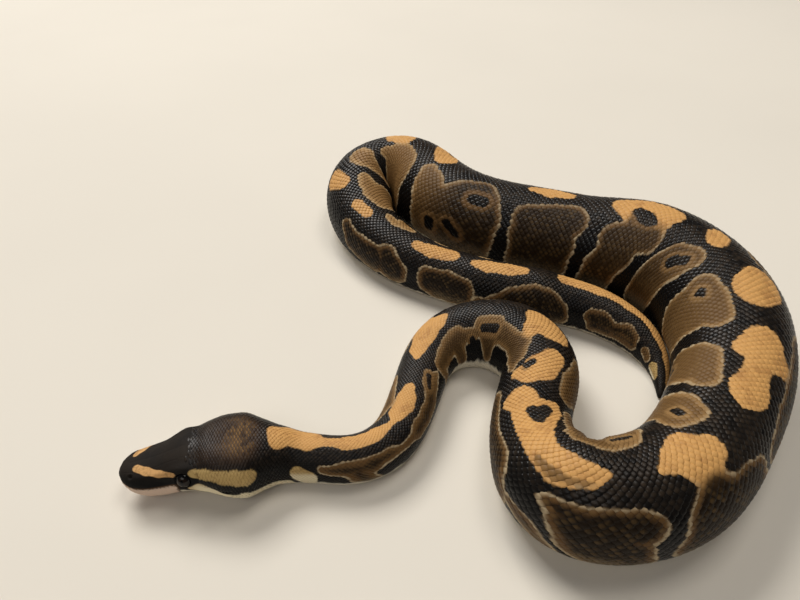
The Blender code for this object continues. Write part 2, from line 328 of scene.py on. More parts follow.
markings["flank"] = (
    # left side, from the neck to the tail
    ((72, 68, 2), (79, 67, 3.2), (86, 63, 3.4), (90.9, 56, 2.6), (97.7, 60, 1.4), (104.5, 61, 3.4)),
    ((82, 80, 3.2), (84.9, 113, 3.6)), ((103.5, 61, 3.6), (109.4, 62, 3.9), (115.6, 58, 3.6)),
    ((115.6, 55, 3), (122, 38, 3.8), (125, 23, 2)), ((122, 40, 3.8), (127.5, 45, 1.4)),
    ((133.5, 50, 4.2), (152.5, 42, 4.8)), ((149, 60, 5), (151.5, 92, 4.2)),
    ((131.5, 62, 2), (133, 90, 2.4)), ((155, 47, 4), (164.8, 48, 2.4)),
    ((167.9, 38, 5), (176.2, 36, 5.2)), ((174.1, 54, 8), (175.2, 81, 5)),
    ((179.3, 45, 6), (189.1, 46, 5), (197.9, 42, 6.4), (207.3, 46, 4.6), (214.9, 49, 1.8)),
    ((227, 73, 4.4), (238.7, 76, 5), (246.6, 70, 5.2)), ((246.6, 72, 5), (248.3, 98, 6)),
    ((229.9, 88, 4), (238.5, 97, 6), (246.5, 98, 6)),
    ((254.9, 92, 1.8), (258.9, 98, 3), (262.8, 116, 2.6)),
    ((262.5, 58, 3), (271.6, 64, 6.6), (277.1, 62, 6.6)),
    ((268.7, 71, 7.4), (272.8, 91, 8.4), (275.3, 106, 8)),
    ((297.5, 34, 5), (297.5, 61, 9.4), (298, 94, 12)), ((305.4, 58, 5), (313.6, 63, 5)),
    ((307.9, 68, 9), (312.3, 95, 9)), ((326.4, 70, 5), (339.2, 63, 5.4), (350.5, 60, 5), (366, 66, 7.4)),
    ((340.2, 82, 9), (348.4, 98, 11)), ((350.5, 74, 9), (366, 76, 9), (364, 98, 10)),
    ((401, 48, 8), (408, 62, 10), (410, 92, 10)), ((438, 40, 7), (446, 56, 11), (450, 88, 11)),
    ((478, 42, 6), (484, 58, 9), (486, 86, 9)), ((512, 44, 6), (518, 60, 10), (519, 88, 10)),
    ((550, 52, 5), (551, 72, 7.6), (553, 96, 7)), ((585, 84, 4.2), (587, 96, 6)),
    ((596.5, 72, 2.8), (598, 94, 4)), ((612, 82, 4), (614, 98, 5)),
    ((644, 62, 3.6), (650, 78, 6), (662, 84, 8)), ((670, 62, 5.4), (673, 84, 8.2)),
    ((691, 70, 5), (700, 67, 5.2), (708, 72, 5)), ((692, 86, 5.6), (702, 90, 6), (707, 88, 6)),
    ((696, 102, 5), (706, 104, 5)),
    ((722, 88, 4), (730, 68, 5), (738, 56, 5.4), (745, 60, 5.2), (750, 76, 5)),
    ((728, 90, 5), (740, 84, 9), (751, 92, 5.4)), ((716, 100, 4), (726, 104, 5)),
    ((768, 72, 4.2), (774, 68, 4.4), (779, 73, 3)), ((769, 90, 3.4), (778, 90, 2.8)),
    ((779, 78, 3), (787, 58, 3.6), (791, 62, 3.4)), ((782, 84, 2.6), (792, 80, 3)),
    ((799.5, 58, 2.1), (802, 66, 2.2)),
    # right side
    ((97.6, -61, 2.4), (108.5, -49, 3.2), (121.4, -67, 3)), ((102.7, -62, 3), (104.5, -99, 3)),
    ((139.6, -80, 4.4), (149.5, -86, 4.6)), ((171.3, -58, 4.4), (173.5, -82, 5)),
    ((208.6, -61, 4.8), (215.4, -57, 6.6), (221.2, -51, 4.8)), ((214, -69, 8), (212.8, -90, 8)),
    ((251.5, -17, 1.2), (257, -23, 3.8), (272, -24, 4.6), (281, -33, 5.2), (288, -52, 5)),
    ((246, -38, 3.4), (236, -62, 6), (234, -92, 6)), ((252, -40, 7), (266, -42, 8), (278, -52, 9)),
    ((250, -72, 13), (268, -72, 13), (284, -74, 9)), ((254, -104, 8), (280, -104, 8)),
    ((306.7, -32, 6.2), (313.9, -21, 5)), ((314.1, -45, 10.2), (315.7, -73, 10.6), (315.9, -104, 9)),
    ((333.5, -29, 5.8), (346.8, -37, 5.8)),
    ((340.6, -47, 10), (343.5, -55, 11.2), (345.8, -78, 10.6), (345.8, -105, 10)),
    ((370, -32, 7), (388.5, -39, 7.4)), ((379, -54, 14.6), (380, -76, 14), (381, -104, 10)),
    ((409, -34, 7.4), (413, -46, 10.4), (420, -76, 11.6), (427, -104, 11)),
    ((436, -40, 7.4), (453, -48, 8.6)), ((434, -22, 3), (434, -32, 4)),
    ((450, -20, 2.4), (449.5, -30, 3)), ((449.5, -58, 10.5), (456.5, -84, 8.4), (459, -106, 8.4)),
    ((477, -36, 9), (497, -44, 7.6)), ((487.5, -70, 17), (488, -90, 15.4), (491, -104, 13.4)),
    ((521, -19, 6.4), (529, -25, 6), (534, -36, 5)), ((520.5, -38, 10), (521.5, -56, 13)),
    ((521.5, -56, 13), (525, -84, 14.5), (525, -112, 13)),
    ((552, -24, 4.8), (547.5, -38, 7.8), (544, -60, 8.6)),
    ((537, -66, 13), (538, -86, 13), (542, -110, 9)),
    ((570, -33, 6.5), (577, -44, 8), (586, -38, 7), (592, -27, 5)),
    ((578, -52, 17), (580, -80, 18), (584, -112, 15)),
    ((606.5, 8, 5.2), (607, -6, 6), (609, -28, 5), (612, -60, 4)),
    ((621.5, -10, 3.6), (627, -16, 5.2), (634, -26, 7), (642, -32, 6.4)),
    ((634, -48, 11), (632, -80, 10)), ((656, -18, 2.6), (662, -15, 3), (670, -26, 3)),
    ((664, -36, 5), (664, -70, 8)), ((688, -52, 5), (692, -78, 8)), ((712, -46, 4.4), (716, -78, 7.4)),
    ((740, -58, 4), (744, -82, 7)), ((768, -66, 3.6), (772, -88, 4.6)), ((792, -72, 2.6), (794, -92, 3)),
)
markings["dusk"] = (  # darker brown places inside the gold
    ((255.5, 32, 1.2), (260, 35, 1.6), (265, 31, 1.1), (268, 27, 0.5)),
    ((211.5, 20, 0.9), (216, 24, 1.2)), ((560, 38, 2.2), (566, 54, 2)),
)
markings["spots"] = (
    ((119.7, 37, 0.9), (124.2, 27, 1.1)), ((139.5, 76, 1.2), (141, 95, 1.6)),
    ((161, 61, 2.4), (162.8, 90, 3.6)), ((169, 40, 2), (177, 40, 2.2)),
    ((212.5, 15, 1.5), (214.5, 22, 1.8)), ((235.2, -12, 1.9), (237.8, 1, 2.4)),
    ((236.7, 7, 2.3), (239.5, 5, 2), (242.4, 6, 0.8)), ((273.5, -32, 1.2), (283, -36, 1.2)),
    ((312, -38, 1.8), (310.5, -31, 1.8)), ((384, -40, 1.5), (387, -40, 1.5), (385.4, -45, 1.2)),
    ((409, -37, 2.6), (414.5, -47, 3.2)), ((441, -20, 3.2), (444, -16, 4), (448, -10, 3)),
    ((519, -35, 3), (523, -35, 3)), ((526.5, -88, 2), (531, -78, 2)),
    ((539.5, -93, 2.4), (539.5, -87, 2.6)), ((446, 52, 2.2), (448, 60, 2.6)),
    ((551, 66, 1.8), (552, 74, 2)), ((342.7, -94, 2), (345.7, -84, 2)),
)
markings["cream"] = (  # snout stripe, stripe behind the eye, lip, dab behind the jaw, and a dab on the tail
    ((7, 18, 1.35), (10.5, 31, 1.35), (15, 46, 1.2), (19.6, 57, 0.95)),
    ((5.8, -20, 1), (7.4, -34, 1.4), (10.5, -56, 1.3), (20, -70, 1.2)),
    ((27, 57, 1.9), (31, 58, 2.1), (36, 60, 2.6), (41, 62, 3), (44.6, 64, 3.2)),
    ((27, -66, 1.9), (31, -67, 2.1), (36, -69, 2.6), (41, -71, 3), (44.6, -73, 3.2)),
    ((25, 97, 1.2), (28.5, 93, 2.2), (33, 98, 1.6), (38, 103, 1.3), (43, 100, 1.8), (50, 110, 1.8),
     (59, 112, 1.8)),
    ((25, -97, 1.2), (28.5, -93, 2.2), (33, -98, 1.6), (38, -103, 1.3), (43, -100, 1.8),
     (50, -110, 1.8), (59, -112, 1.8)),
    ((63, 80, 3), (66.5, 96, 3.2), (67, 108, 2.4)), ((63, -80, 3), (66.5, -96, 3.2), (67, -108, 2.4)),
    ((807.6, 62, 2.2), (811, 68, 2)),
)

# Colours and finish of the skin and the coat.
coatLook = {
    "black": (0.0042, 0.0038, 0.0036),
    "crownSheenBlack": (0.032, 0.022, 0.014),  # painted light: the back is painted lighter and browner than the sides, as a sheen where light from above falls
    # dark blotch browns: partly their own tone, partly a painted shaded copy of the bronze ones
    "deepBrown": (0.0115, 0.0060, 0.0021),
    "brownEdge": (0.120, 0.062, 0.021),
    "bronze": (0.240, 0.128, 0.043),  # the lighter blotches, partly their own tone and partly painted light where the body is lit
    "bronzeEdge": (0.36, 0.210, 0.080),
    # painted highlight in the middle of the brown scales
    "glintFleck": (0.24, 0.145, 0.055),
    "rim": (0.50, 0.40, 0.25),
    "gold": (0.56, 0.302, 0.099),
    "goldShade": (0.37, 0.180, 0.058),
    "cream": (0.47, 0.32, 0.125),
    "snoutStripe": (0.60, 0.34, 0.135),
    "paleCream": (0.80, 0.70, 0.48),
    "belly": (0.72, 0.66, 0.53),
    "headBrown": (0.028, 0.014, 0.007),
    # gold of the patch behind the head, laid mostly on the free tips of its scales as painted highlights
    "headGoldGlint": (0.42, 0.235, 0.080),
    "lip": (0.66, 0.50, 0.39),
    "lipShade": (0.075, 0.042, 0.022),
    "seamTintAndShade": (0.36, 0.31, 0.26),  # what the seams between scales leave of the colour: partly the darker skin there, partly painted shade
    "goldSeamTintAndShade": (0.78, 0.68, 0.56),
    "roughness": 0.24,
    "shine": 0.125,
}

# Tables of (mm from the snout, value) for the markings, and how uneven their edges are.
markTables = {
    "drift": {"gold": 0.25, "flank": 0.35, "dusk": 0.5, "spots": 0, "cream": 0},
    # how light the brown blotches are, from 0 to 1: partly their own tone and partly painted light and shade,
    # darker on the left side, which is turned from the light, and lighter on the lit stretches of the right
    "leftToneAndShade": ((0, 0.02), (100, 0.05), (135, 0.28), (205, 0.28), (225, 0.12), (262, 0), (821, 0)),
    "rightToneAndLight": ((0, 0.2), (200, 0.4), (300, 0.58), (380, 0.5), (425, 0.2), (470, 0.05), (530, 0.03),
                  (560, 0.75), (600, 1), (650, 1), (821, 0.4)),
    "rimWidth": ((60, 0.735), (120, 0.84), (400, 1.2075), (700, 0.9975), (800, 0.63)),
    # degrees from the back where the pale belly begins
    "belly": ((0, 100), (30, 108), (60, 112), (110, 108), (150, 100), (210, 104), (260, 122), (700, 124),
              (821, 118)),
}


def strokeDistance(s, degrees, strokes, soft=1.2):
    # signed distance in mm on the unrolled skin, less than nothing inside a stroke
    girth = np.pi / 180 * (bodyTable["half"] + (bodyTable["back"] - bodyTable["under"]) / 2) / 2
    nearest = np.full(np.shape(s), 60.0)
    first, last = np.min(s), np.max(s)
    for stroke in strokes:
        for (s0, a0, r0), (s1, a1, r1) in zip(stroke, stroke[1:]):
            if max(s0 + r0, s1 + r1) < first - 12 or min(s0 - r0, s1 - r1) > last + 12:
                continue
            perDegree = np.interp((s0 + s1) / 2, bodyTable["at"], girth)
            dx, dy = s - s0, (degrees - a0) * perDegree
            ex, ey = s1 - s0, (a1 - a0) * perDegree
            t = np.clip((dx * ex + dy * ey) / (ex * ex + ey * ey), 0, 1)
            d = np.hypot(dx - t * ex, dy - t * ey) - (r0 + (r1 - r0) * t)
            h = np.clip(0.5 + 0.5 * (nearest - d) / soft, 0, 1)
            nearest = nearest * (1 - h) + d * h - soft * h * (1 - h)
    return nearest


def waver(s, degrees):
    # a slow, uneven drift that keeps edges from being too round, from -1 to 1
    return (np.sin(s * 0.61 + degrees * 0.13) + np.sin(s * 0.23 - degrees * 0.21 + 1.7)
            + np.sin(s * 1.13 + degrees * 0.05 + 4.0)) / 3


def coatMarks(s, angle):
    # how much of each marking a place of the coat has
    degrees = np.degrees(angle)
    side = np.abs(degrees)
    drift = waver(s, degrees)
    gold, flank, dusk, spots, cream = (strokeDistance(s, degrees, markings[name]) + share * drift
                                       for name, share in markTables["drift"].items())
    edge = np.maximum(np.minimum(gold, flank), -spots)
    blotch = step(edge, 0.15, -0.15)
    gilt = step(flank - gold, -3.0, 3.0) * (1 - 0.75 * step(dusk, 0.5, -0.5))
    depth = step(-edge, 0.5, 4.2)
    rimWidth = readRows(markTables["rimWidth"], s)
    rim = blotch * step(-edge, rimWidth, rimWidth * 0.4) * (1 - 0.85 * gilt) * (0.80 + 0.20 * drift)
    rim = rim * step(spots, 0.6, 2.5) * (0.45 + 0.55 * step(side, 25, 70))
    leftToneAndShade, rightToneAndLight, bellyLine = (readRows(markTables[k], s) for k in ("leftToneAndShade", "rightToneAndLight", "belly"))
    # lighter or darker by side and place along the body: partly own tone, partly painted light and shade
    bronze = rightToneAndLight + (leftToneAndShade - rightToneAndLight) * step(degrees, 8, 48)
    belly = step(side + 5 * drift, bellyLine - 4, bellyLine + 5)
    lip = step(side, 78, 92) * step(s, 21.5, 19.0)
    warm = hill(s, 43.5, 6) * hill(side, 4, 30) + 0.35 * hill(s, 33, 7) * hill(side, 15, 40)
    jaw = step(side, 74, 92) * step(s, 22, 29) - step(s, 24.5, 21.5)  # and less than nothing on the snout
    return {
        "marks": np.stack([blotch, rim, gilt], -1),
        "flesh": np.stack([depth, belly, np.clip(warm, 0, 1)], -1),
        "face": np.stack([step(cream, 0.12, -0.12), lip, step(side, 70, 120)], -1),
        "lie": np.stack([step(side, 74, 22), bronze, jaw], -1),
    }


# Shader maths: a Wire is a socket that takes part in sums, and a Paint is a material being mixed.
class Wire:
    def __init__(self, paint, socket):
        self.paint = paint
        self.socket = socket

    def sum(self, operation, first, second):
        return self.paint.node("Math", {"operation": operation}, {0: first, 1: second})

    def __add__(self, other):
        return self.sum("ADD", self, other)

    __radd__ = __add__

    def __sub__(self, other):
        return self.sum("SUBTRACT", self, other)

    def __rsub__(self, other):
        return self.sum("SUBTRACT", other, self)

    def __mul__(self, other):
        return self.sum("MULTIPLY", self, other)

    __rmul__ = __mul__

    def __pow__(self, other):
        return self.sum("POWER", self, other)


class Paint:
    def __init__(self, name):
        self.material = bpy.data.materials.new(name)
        self.material.use_nodes = True
        self.tree = self.material.node_tree
        self.shader = self.tree.nodes["Principled BSDF"]

    def feed(self, socket, value):
        if isinstance(value, Wire):
            self.tree.links.new(value.socket, socket)
        elif isinstance(value, tuple) and len(value) == 3 and socket.type == "RGBA":
            socket.default_value = (*value, 1.0)
        else:
            socket.default_value = value

    def node(self, kind, settings=None, sockets=None, output=0):
        made = self.tree.nodes.new("ShaderNode" + kind)
        for name, value in (settings or {}).items():
            setattr(made, name, value)
        for name, value in (sockets or {}).items():
            self.feed(made.inputs[name], value)
        return Wire(self, made.outputs[output])

    def mix(self, share, first, second, blend="MIX"):
        # colours: sockets 6 and 7 of the Mix node, and its third output
        settings = {"data_type": "RGBA", "blend_type": blend, "clamp_factor": True}
        return self.node("Mix", settings, {0: share, 6: first, 7: second}, 2)

    def ramp(self, value, low, high, start=0.0, end=1.0):
        sockets = {"Value": value, "From Min": low, "From Max": high, "To Min": start, "To Max": end}
        return self.node("MapRange", {"interpolation_type": "SMOOTHSTEP"}, sockets)

    def read(self, name):
        # the three parts of an attribute of the mesh
        vector = self.node("Attribute", {"attribute_name": name}, output=1)
        return [self.node("SeparateXYZ", None, {0: vector}, i) for i in range(3)]

    def noise(self, scale, detail):
        place = self.node("TexCoord", output=3)
        sockets = {"Vector": place, "Scale": scale, "Detail": detail, "Roughness": 0.55}
        return self.node("TexNoise", None, sockets)

    def bump(self, scale, strength, distance):
        height = self.noise(scale, 2)
        return self.node("Bump", None, {"Strength": strength, "Distance": distance, "Height": height})

    def finish(self, **sockets):
        for name, value in sockets.items():
            self.feed(self.shader.inputs[name.replace("_", " ")], value)
        return self.material


def coatPaint(name, between):
    # the markings on scales, or on the skin between them when between is True
    look = coatLook
    paint = Paint(name)
    blotch, rim, gilt = paint.read("marks")
    depth, belly, warm = paint.read("flesh")
    cream, lip, low = paint.read("face")
    tone, brim, rear = paint.read("grain")
    crown, bronze, jaw = paint.read("lie")
    snout = paint.ramp(jaw, 0.0, -1.0)
    broad = paint.noise(110, 3)
    fine = paint.noise(1100, 2)
    swell = paint.ramp(brim, 0.85, 0.10)  # the middle of a scale
    # the free edge of a scale; on the skin, the third part of grain tells where no scales lie
    tip = 0.0 if between else paint.ramp(rear, 0.55, 1.0) * paint.ramp(brim, 0.3, 0.95)
    # the dark ground, with a painted sheen that makes the back lighter and browner, most in the middle of
    # each scale, and patched with gold on the head
    crownSheen = crown * paint.ramp(broad * 0.6 + tone * 0.4, 0.15, 0.75) * (swell * 0.7 + 0.3)
    ground = paint.mix(crownSheen, look["black"], look["crownSheenBlack"])
    patches = paint.ramp(broad * 0.8 + tone * 0.4, 0.35, 0.80)
    # the head's gold patch, painted mostly on the free tips of the scales as painted highlights
    headGlintShare = paint.ramp(warm, 0.25, 0.95) * patches * (tip * 0.90 + 0.10)
    headTone = paint.mix(headGlintShare, look["headBrown"], look["headGoldGlint"])
    ground = paint.mix(paint.ramp(warm, 0.05, 0.6), ground, headTone)
    # the brown blotches, darker or lighter towards their middle
    inner = paint.ramp(depth + (broad - 0.5) * 0.7 + (tone - 0.5) * 0.2, 0.0, 0.85)
    dark = paint.mix(inner, look["brownEdge"], look["deepBrown"])
    light = paint.mix(inner, look["bronzeEdge"], look["bronze"])
    # mix of the painted shaded and lit copies of the blotch brown: partly own tone, partly painted light and
    # shade
    flank = paint.mix(bronze, dark, light)
    # painted highlights of random strength in the middle of the brown scales
    flank = paint.mix(paint.ramp(tone + (fine - 0.5) * 0.8, 0.25, 1.0) * swell * 0.26, flank, look["glintFleck"])
    flank = paint.mix(paint.ramp(low, 0.35, 1.0, 0.0, 0.55) * paint.ramp(broad + (fine - 0.5), 0.2, 0.7),
                      flank, paint.mix(0.5, look["brownEdge"], look["rim"]))
    shade = paint.ramp(broad + (tone - 0.5) * 0.25 + (fine - 0.5) * 0.5, 0.45, 0.85)
    gold = paint.mix(shade * 0.8, look["gold"], look["goldShade"])
    fill = paint.mix(gilt, flank, gold)
    fill = paint.mix(rim, fill, look["rim"])
    colour = paint.mix(blotch, ground, fill)
    # belly, lips and the pale stripes of the head
    colour = paint.mix(belly * 0.92, colour, look["belly"])
    lipTone = paint.mix(paint.ramp(lip + (fine - 0.5) * 0.8, 0.35, 0.95), look["lipShade"], look["lip"])
    colour = paint.mix(paint.ramp(lip, 0.0, 0.4), colour, lipTone)
    stripe = paint.mix(snout, look["cream"], look["snoutStripe"])
    stripe = paint.mix(paint.ramp(broad + (fine - 0.5) * 1.2, 0.35, 0.9) * 0.6, stripe, look["brownEdge"])
    colour = paint.mix(cream, colour, paint.mix(jaw, stripe, look["paleCream"]))
    # seams between the scales: partly darker skin, partly painted shade
    seamTintAndShade = paint.mix(1.0, colour, paint.mix(gilt * blotch, look["seamTintAndShade"], look["goldSeamTintAndShade"]), "MULTIPLY")
    rough = look["roughness"] + fine * 0.10 + blotch * 0.17 + warm * 0.30
    if between:
        # painted shade on the skin where the scales lie over it
        colour = paint.mix(rear, seamTintAndShade, colour)
        rough = rough + rear * 0.42
    else:
        # painted shade towards the edges of each scale, least at its free tip
        edgeShade = paint.ramp(brim, 0.60, 1.0) * (1 - tip * 0.7) * (1 - rim * 0.8)
        colour = paint.mix(edgeShade * 0.75, colour, seamTintAndShade)
    bump = paint.bump(2600, 0.15, 0.0001)
    return paint.finish(Base_Color=colour, Roughness=rough, Normal=bump, Specular_IOR_Level=look["shine"])


def addObject(name, data):
    made = bpy.data.objects.new(name, data)
    bpy.context.scene.collection.objects.link(made)
    return made


def makeMesh(name, points, faces, attributes, uv, material, seam=1.0):
    # faces is a list of index arrays, all the faces of one array having the same number of corners
    mesh = bpy.data.meshes.new(name)
    loops = np.concatenate([f.ravel() for f in faces]).astype(np.int32)
    sizes = np.concatenate([np.full(len(f), f.shape[1]) for f in faces]).astype(np.int32)
    begins = np.concatenate([[0], np.cumsum(sizes)[:-1]]).astype(np.int32)
    mesh.vertices.add(len(points))
    mesh.vertices.foreach_set("co", points.astype(np.float32).ravel())
    mesh.loops.add(len(loops))
    mesh.loops.foreach_set("vertex_index", loops)
    mesh.polygons.add(len(sizes))
    mesh.polygons.foreach_set("loop_start", begins)
    mesh.polygons.foreach_set("use_smooth", np.ones(len(sizes), bool))
    for key, values in attributes.items():
        made = mesh.attributes.new(key, "FLOAT_VECTOR", "POINT")
        made.data.foreach_set("vector", values.astype(np.float32).ravel())
    if uv is not None:
        layer = mesh.uv_layers.new(name="OFBake")
        corner = uv[loops]
        highest = np.repeat(np.maximum.reduceat(corner[:, 1], begins), sizes)
        lowest = np.repeat(np.minimum.reduceat(corner[:, 1], begins), sizes)
        wraps = (highest - lowest > seam * 0.5) & (corner[:, 1] < (highest + lowest) / 2)
        corner[wraps, 1] += seam  # close the unwrap along the middle of the belly
        layer.data.foreach_set("uv", corner.astype(np.float32).ravel())
    mesh.update(calc_edges=True)
    mesh.validate()
    mesh.materials.append(material)
    return addObject(name, mesh)


# Skin: one closed tube from snout to tail, fine on the head and coarser behind it.
skinParts = {
    "headEnd": 52,
    "headStep": 0.36,
    "headSides": 288,
    "bodyStep": 2.6,
    "bodySides": 144,
    "tipRings": ((0.95, 0.06), (0.84, 0.14), (0.66, 0.22), (0.43, 0.28), (0.2, 0.31)),  # size, mm beyond
    "plateGroove": 0.11,  # how deep the seams between the head plates are
    "plateSeam": 0.42,
    "mouth": ((0, 9.7), (2, 8.4), (5, 6.8), (10, 5.6), (20, 5.4), (30, 6.0), (40, 6.6)),  # height of the lips
    "mouthEnd": 39.5,
    "mouthGroove": 0.34,
    "lowerLipStep": 0.22,  # the lower lip lies this far inside the upper
    "nostril": (4.8, 42, 0.62),  # distance, degrees, radius
    "nostrilRim": 0.16,
    "nostrilDepth": 0.85,
    "pits": ((2.4, 92), (4.8, 98), (7.4, 101), (10.2, 102), (24, 133), (27.4, 132), (30.8, 130)),
    "pitSize": 0.42,
    "pitDepth": 0.55,
    "eyeAt": 23.2,
    "eyeGap": 0.10,  # between the ball and its socket
    "eyeRim": 0.12,
    "eyePlates": 10,
    "strips": (0, 62, 315, 568),  # where the strips of the unwrap begin
}
# Centres of the plates on one side of the head: mm from the snout, degrees from the crown.
headPlates = (
    (1.6, 0), (4.6, 17), (9.0, 15), (14.0, 14), (19.5, 12), (24.5, 11), (9.5, 38), (14.5, 37), (19.5, 34),
    (23.5, 33), (4.0, 42), (6.4, 56), (10.5, 62), (14.0, 58), (17.2, 58), (17.0, 72), (13.4, 78), (9.6, 80),
    (28.5, 9), (28.5, 28), (28.0, 44), (29.0, 62), (29.0, 76), (24.0, 85), (20.5, 86), (33, 84),
)
lipPlates = {"upper": (96, 1.2, 41, 11), "lower": (132, 2.0, 42, 12)}  # degrees, first, last, how many


def eyeOf(node):
    low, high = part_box(node)
    return np.array((low + high) / 2), (high.z - low.z) / 2


eyes = {side: eyeOf(side + "_eye") for side in ("left", "right")}


def plateCentres():
    rows = list(headPlates)
    for degrees, first, last, count in lipPlates.values():
        rows += [(first + (last - first) * i / (count - 1), degrees) for i in range(count)]
    rows += [(s, -a) for s, a in rows if a]
    centres = surface(np.array([r[0] for r in rows], float), np.radians([r[1] for r in rows]))
    ring = []
    middle = [bodyAt(axis, skinParts["eyeAt"]) * mm for axis in "xy"]
    for centre, radius in eyes.values():  # a ring of small plates round each eye
        outward = unit(np.array([centre[0] - middle[0], centre[1] - middle[1], 0.004]))
        forward = unit(np.cross(outward, (0, 0, 1.0)))
        upward = np.cross(forward, outward)
        for turn in evenTurns(skinParts["eyePlates"]):
            rim = forward * math.cos(turn) + upward * math.sin(turn)
            ring.append(centre + outward * radius * 0.5 + rim * radius * 1.42)
    return np.concatenate([centres, np.array(ring)])


def carveHead(points, normals, s, degrees):
    # plates, lips, pits, nostrils and eye sockets, as moves along the normal
    size = skinParts
    side = np.abs(degrees)
    onHead = s < size["headEnd"]
    gaps = np.linalg.norm(points[onHead][:, None] - plateCentres()[None], axis=2)
    gaps.partition(1, axis=1)
    seam = (gaps[:, 1] - gaps[:, 0]) / (size["plateSeam"] * mm)
    move = np.zeros(len(points))
    # the plates end behind the brows, and further back along the lips
    fade = np.clip(step(s, 26.5, 21) + step(side, 72, 84) * step(s, 46, 40), 0, 1)
    move[onHead] = (np.minimum(seam, 1) ** 0.6 - 1) * size["plateGroove"] * fade[onHead]
    above = points[:, 2] / mm - readRows(size["mouth"], s)
    mouth = step(s, size["mouthEnd"] + 1, size["mouthEnd"] - 1) * np.where(s < 3, 1.0, step(side, 60, 85))
    move -= size["mouthGroove"] * hill(above, 0, 0.22) * mouth
    move -= size["lowerLipStep"] * step(above, 0.1, -0.3) * mouth

    def farFrom(at, turn):
        # distances in mm from a place on the left, and from its twin on the right
        spots = [surface(at, math.radians(t)) for t in (turn, -turn)]
        return [np.linalg.norm(points - spot, axis=1) / mm for spot in spots]

    at, turn, wide = size["nostril"]
    for far in farFrom(at, turn):
        move += size["nostrilRim"] * hill(far, wide * 1.75, 0.35) - size["nostrilDepth"] * hill(far, 0, wide)
    for at, turn in size["pits"]:
        for far in farFrom(at, turn):
            move -= size["pitDepth"] * hill(far, 0, size["pitSize"])
    points = points + normals * (move * mm)[:, None]
    for centre, radius in eyes.values():
        far = np.linalg.norm(points - centre, axis=1)
        socket = radius + size["eyeGap"] * mm
        bowl = radius * 1.5 * np.sqrt(np.clip(1 - (far / socket) ** 2, 0, 1))
        rise = hill(far / mm, radius / mm + 0.75, 0.45) * size["eyeRim"] * mm
        rise = rise - bowl * np.clip((socket - far) / (0.5 * mm), 0, 1) ** 0.5
        points = points + normals * rise[:, None]
    return points


def coatStart(side):
    # where the small scales begin behind the head plates, at degrees from the back
    return 25.5 + 0.06 * np.clip(side - 30, 0, 99) + np.where(side > 86, 8.5, 0)


def buildSkin(material):
    size = skinParts
    headRows = np.arange(0, size["headEnd"] + 0.01, size["headStep"])
    bodyRows = np.append(np.arange(size["headEnd"] + 1.2, total - 0.8, size["bodyStep"]), total - 0.4)
    points, ss, angles, rings = [], [], [], []

    def addRing(s, sides, shrink=1.0, beyond=0.0):
        angle = evenTurns(sides)
        ring = surface(np.full(sides, s), angle)
        if beyond:
            middle = ring.mean(0)
            ring = middle + (ring - middle) * shrink + aheadAt(s) * beyond * mm
        rings.append((sum(len(p) for p in points), sides))
        points.append(ring)
        ss.append(np.full(sides, s + beyond))
        angles.append(angle)

    for shrink, beyond in reversed(size["tipRings"]):
        addRing(0.0, size["headSides"], shrink, -beyond)
    for s in headRows:
        addRing(s, size["headSides"])
    for s in bodyRows:
        addRing(s, size["bodySides"])
    for shrink, beyond in size["tipRings"]:
        addRing(total - 0.4, size["bodySides"], shrink, beyond)
    quads, threes = [], []
    for (near, n), (far, m) in zip(rings, rings[1:]):
        i = np.arange(m)
        j = (i + 1) % m
        if n == m:
            quads.append(np.stack([near + i, near + j, far + j, far + i], 1))
        else:  # the head ring has two points for each point of the next ring
            a, b, c = near + 2 * i, near + 2 * i + 1, near + (2 * i + 2) % n
            threes += [np.stack(t, 1) for t in ((a, b, far + i), (b, far + j, far + i), (b, c, far + j))]
    joined = np.concatenate(points)
    s, angle = np.concatenate(ss), np.concatenate(angles)
    first, last = joined[:rings[0][1]].mean(0), joined[-rings[-1][1]:].mean(0)
    for (start, n), tip, way in ((rings[0], len(joined), -1), (rings[-1], len(joined) + 1, 1)):
        pair = (start + np.arange(n), start + (np.arange(n) + 1) % n)[::way]
        threes.append(np.stack([*pair, np.full(n, tip)], 1))
    joined = np.concatenate([joined, [first, last]])
    s = np.concatenate([s, [-1.0, total + 0.5]])
    angle = np.concatenate([angle, [0.0, 0.0]])
    signed = signedTurn(angle)
    normals = surfaceFrame(np.clip(s, 0.4, total - 0.8), signed)[1]
    joined = carveHead(joined, normals, s, np.degrees(signed))
    marks = coatMarks(np.clip(s, 0, total), signed)
    marks["grain"] = np.full((len(joined), 3), 0.5)
    begins = coatStart(np.abs(np.degrees(signed)))
    marks["grain"][:, 2] = step(s, begins + 1.6, begins - 0.6)
    # the unwrap lies in four strips, one above the other: the head and neck, then three lengths of body
    ends = np.array([*size["strips"], total])
    count = len(ends) - 1
    strip = np.clip(np.searchsorted(ends, s, "right") - 1, 0, count - 1)
    u = (np.clip(s, 0, total) - ends[strip]) / (ends[strip + 1] - ends[strip])
    v = (strip + 0.01 + 0.98 * (signed + math.pi) / (2 * math.pi)) / count
    uv = np.stack([0.005 + 0.99 * u, v], 1)
    faces = [np.concatenate(quads), np.concatenate(threes)]
    return makeMesh("skin", joined, faces, marks, uv, material, seam=0.98 / count)


